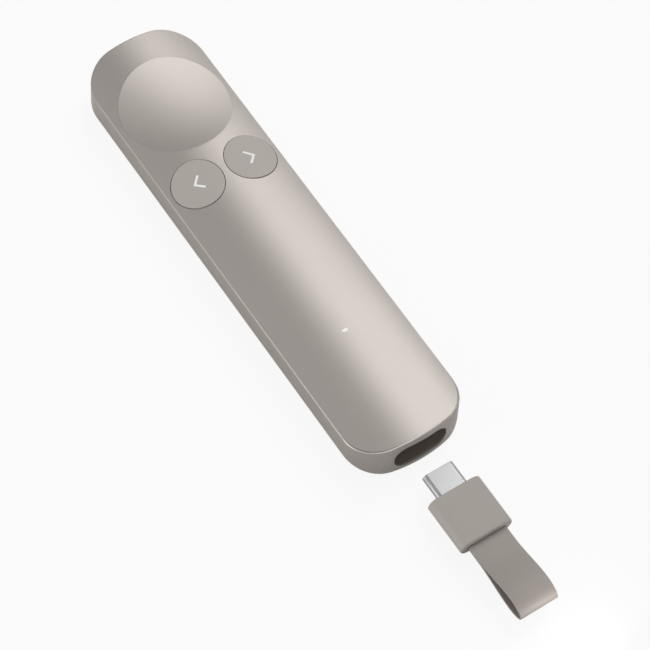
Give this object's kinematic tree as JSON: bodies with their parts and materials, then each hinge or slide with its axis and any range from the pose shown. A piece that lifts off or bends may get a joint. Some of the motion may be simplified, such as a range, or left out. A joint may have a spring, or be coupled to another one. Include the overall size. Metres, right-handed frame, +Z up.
{
  "type": "wireless presentation clicker",
  "caption": "Slim handheld presentation remote with an arched cover, a dished thumb button, small round keys, a status light and a plug-in receiver on a strap that docks in its tail.",
  "frame": {"origin": "centre of the flat base of the handset", "axes": "+Y along the handset to its pointing end, +X to its right, +Z up through the buttons"},
  "size_m": [0.0304, 0.174, 0.012],
  "materials": {
    "shell": "satin metallic greige paint",
    "key": "matte",
    "arrow": "matte white",
    "lens": "clear to milky white",
    "sleeve": "matte dark brown",
    "board": "green solder mask",
    "screw_steel": "plain",
    "socket_steel": "satin",
    "plug_steel": "fine satin nickel",
    "black_moulding": "matte black",
    "white_moulding": "matte off-white",
    "cell": "laminated foil",
    "foam": "closed-cell foam",
    "lead": "insulated wire",
    "gold": "gold plate",
    "housing": "fine matte greige",
    "strap": "smooth matte elastomer"
  },
  "bodies": {
    "handset": {"bottom_shell": "shell", "top_shell": "shell", "status_lens": "lens", "status_led": "lens", "main_board": "board", "board_screws": "screw_steel", "pointer_switch": "black_moulding", "back_switch": "black_moulding", "next_switch": "black_moulding", "processor": "black_moulding", "radio_shield": "screw_steel", "radio_chip": "black_moulding", "chip_antenna": "white_moulding", "motion_sensor": "black_moulding", "vibration_motor": "screw_steel", "charge_chip": "black_moulding", "battery": "cell", "battery_pad": "foam", "battery_socket": "white_moulding", "battery_leads": "lead", "dock_sleeve": "sleeve", "socket_shell": "socket_steel", "socket_tongue": "black_moulding"},
    "pointer_key": {"pointer_button": "shell", "pointer_stem": "white_moulding"},
    "back_key": {"back_button": "key", "back_arrow": "arrow", "back_stem": "white_moulding"},
    "next_key": {"next_button": "key", "next_arrow": "arrow", "next_stem": "white_moulding"},
    "receiver": {"plug_shell": "plug_steel", "plug_insert": "black_moulding", "plug_contacts": "gold", "receiver_housing": "housing", "receiver_board": "board", "receiver_chip": "black_moulding", "strap": "strap", "strap_pin": "screw_steel"}
  },
  "joints": [
    {"name": "pointer_press", "type": "slide", "parent": "handset", "child": "pointer_key", "axis": [0, 0, -1], "range_m": [0, 0.0005], "stiffness_N_per_m": 3000, "springref_m": -0.0003},
    {"name": "back_press", "type": "slide", "parent": "handset", "child": "back_key", "axis": [0, 0, -1], "range_m": [0, 0.0004], "stiffness_N_per_m": 3000, "springref_m": -0.0002},
    {"name": "next_press", "type": "slide", "parent": "handset", "child": "next_key", "axis": [0, 0, -1], "range_m": [0, 0.0004], "stiffness_N_per_m": 3000, "springref_m": -0.0002},
    {"name": "receiver_slide", "type": "slide", "parent": "handset", "child": "receiver", "axis": [0, 1, 0], "range_m": [0, 0.026]}
  ]
}
